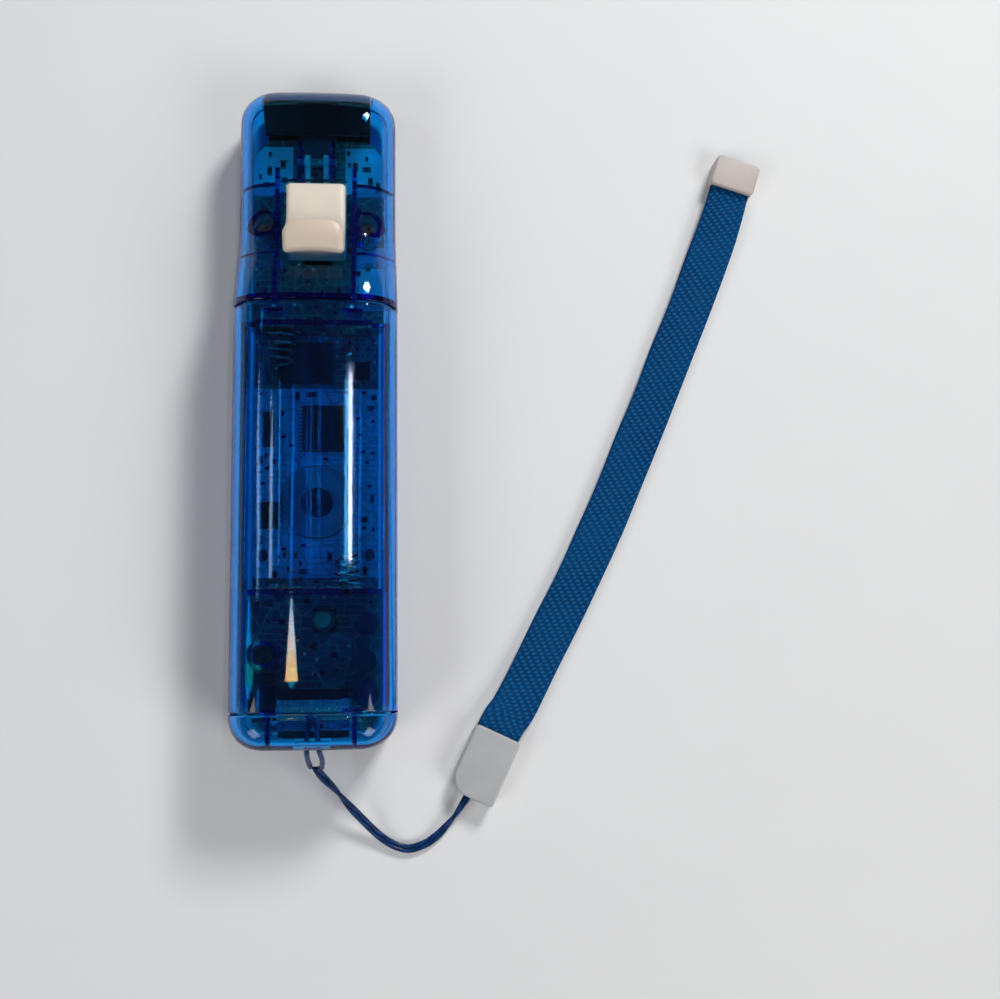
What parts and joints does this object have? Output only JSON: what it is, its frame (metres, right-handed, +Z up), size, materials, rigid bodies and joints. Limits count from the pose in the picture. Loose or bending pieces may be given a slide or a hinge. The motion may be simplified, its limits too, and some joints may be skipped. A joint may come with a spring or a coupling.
{
  "type": "motion controller wand",
  "caption": "Handheld motion controller wand in a clear blue case with a hinged trigger, face buttons, lift-off battery cover and a wrist strap with clasp and slider, lying on its face.",
  "frame": {"origin": "Centre of the foot of the wand, strap left out, on the table under its button crowns", "axes": "+X to the right in the picture, +Y to the pointing end of the wand, +Z up out of its back"},
  "size_m": [0.1232, 0.1727, 0.0308],
  "materials": {
    "clear_blue": "clear tinted moulding, polished",
    "warm_white": "opaque moulding, satin",
    "clasp_white": "opaque moulding, fine grain",
    "dark_window": "dark infrared filter, polished",
    "dark_plastic": "moulded",
    "lens_glass": "polished",
    "board_green": "solder mask",
    "key_rubber": "silicone",
    "red_plastic": "moulded",
    "cone_film": "film",
    "steel": "plated",
    "contact_steel": "nickel plated",
    "contact_brass": "plated",
    "capacitor_sleeve": "shrunk sleeve",
    "lamp": "clear",
    "cord_blue": "braided, glossy",
    "webbing_blue": "flat woven"
  },
  "bodies": {
    "wand_body": {"front_shell": "clear_blue", "back_shell": "clear_blue", "trigger_pin": "steel", "trigger_switch": "dark_plastic", "ir_window": "dark_window", "ir_camera": "dark_plastic", "ir_lens": "lens_glass", "main_board": "board_green", "front_membrane": "key_rubber", "middle_membrane": "key_rubber", "rear_membrane": "key_rubber", "sync_switch": "dark_plastic", "speaker_frame": "dark_plastic", "speaker_cone": "cone_film", "speaker_magnet": "steel", "rumble_motor": "steel", "rumble_boot": "key_rubber", "expansion_connector": "dark_plastic", "expansion_shield": "steel", "expansion_contacts": "contact_brass", "main_chip": "dark_plastic", "radio_chip": "dark_plastic", "memory_chip": "dark_plastic", "motion_sensor": "dark_plastic", "crystal": "steel", "capacitors": "capacitor_sleeve", "player_lights": "lamp", "light_windows": "lamp", "front_plus_contact": "contact_steel", "front_minus_contact": "contact_steel", "front_contact_spring": "contact_steel", "rear_contact": "contact_steel", "rear_contact_spring": "contact_steel", "shell_screws": "steel", "board_screws": "steel", "strap_loop": "cord_blue", "strap_string": "cord_blue", "strap_clasp": "clasp_white", "wrist_strap": "webbing_blue"},
    "battery_cover": {"battery_cover": "clear_blue"},
    "trigger": {"trigger": "warm_white"},
    "d_pad_pivot": {"d_pad_pivot": "key_rubber"},
    "d_pad": {"d_pad": "warm_white"},
    "a_button": {"a_button": "warm_white"},
    "power_button": {"power_button": "warm_white"},
    "minus_button": {"minus_button": "warm_white"},
    "home_button": {"home_button": "warm_white"},
    "plus_button": {"plus_button": "warm_white"},
    "one_button": {"one_button": "warm_white"},
    "two_button": {"two_button": "warm_white"},
    "sync_button": {"sync_button": "red_plastic"},
    "rumble_weight": {"rumble_weight": "steel"},
    "strap_slider": {"strap_slider": "clasp_white"}
  },
  "joints": [
    {"name": "cover_lift", "type": "slide", "parent": "wand_body", "child": "battery_cover", "axis": [0, 0, 1], "range_m": [0, 0.04]},
    {"name": "trigger_pull", "type": "hinge", "parent": "wand_body", "child": "trigger", "pos_m": [0, 0.056, 0.0156], "axis": [1, 0, 0], "range_deg": [0, 6], "stiffness_Nm_per_rad": 0.3, "springref_deg": -4.58},
    {"name": "d_pad_roll", "type": "hinge", "parent": "wand_body", "child": "d_pad_pivot", "pos_m": [0, 0.047, 0.0046], "axis": [0, 1, 0], "range_deg": [-3, 3], "stiffness_Nm_per_rad": 0.25},
    {"name": "d_pad_pitch", "type": "hinge", "parent": "d_pad_pivot", "child": "d_pad", "pos_m": [0, 0.047, 0.0046], "axis": [1, 0, 0], "range_deg": [-3, 3], "stiffness_Nm_per_rad": 0.25},
    {"name": "a_press", "type": "slide", "parent": "wand_body", "child": "a_button", "axis": [0, 0, 1], "range_m": [0, 0.0008], "stiffness_N_per_m": 800, "springref_m": -0.0005},
    {"name": "power_press", "type": "slide", "parent": "wand_body", "child": "power_button", "axis": [0, 0, 1], "range_m": [0, 0.0008], "stiffness_N_per_m": 800, "springref_m": -0.0005},
    {"name": "minus_press", "type": "slide", "parent": "wand_body", "child": "minus_button", "axis": [0, 0, 1], "range_m": [0, 0.0008], "stiffness_N_per_m": 800, "springref_m": -0.0005},
    {"name": "home_press", "type": "slide", "parent": "wand_body", "child": "home_button", "axis": [0, 0, 1], "range_m": [0, 0.0008], "stiffness_N_per_m": 800, "springref_m": -0.0005},
    {"name": "plus_press", "type": "slide", "parent": "wand_body", "child": "plus_button", "axis": [0, 0, 1], "range_m": [0, 0.0008], "stiffness_N_per_m": 800, "springref_m": -0.0005},
    {"name": "one_press", "type": "slide", "parent": "wand_body", "child": "one_button", "axis": [0, 0, 1], "range_m": [0, 0.0008], "stiffness_N_per_m": 800, "springref_m": -0.0005},
    {"name": "two_press", "type": "slide", "parent": "wand_body", "child": "two_button", "axis": [0, 0, 1], "range_m": [0, 0.0008], "stiffness_N_per_m": 800, "springref_m": -0.0005},
    {"name": "sync_press", "type": "slide", "parent": "wand_body", "child": "sync_button", "axis": [0, 0, -1], "range_m": [0, 0.0006], "stiffness_N_per_m": 800, "springref_m": -0.0005},
    {"name": "rumble_spin", "type": "hinge", "parent": "wand_body", "child": "rumble_weight", "pos_m": [-0.0113, -0.057, 0.01025], "axis": [0, 1, 0], "continuous": true},
    {"name": "slider_slide", "type": "slide", "parent": "wand_body", "child": "strap_slider", "axis": [-0.3289, -0.9444, 0], "range_m": [0, 0.03], "deforming": ["wrist_strap"]}
  ]
}
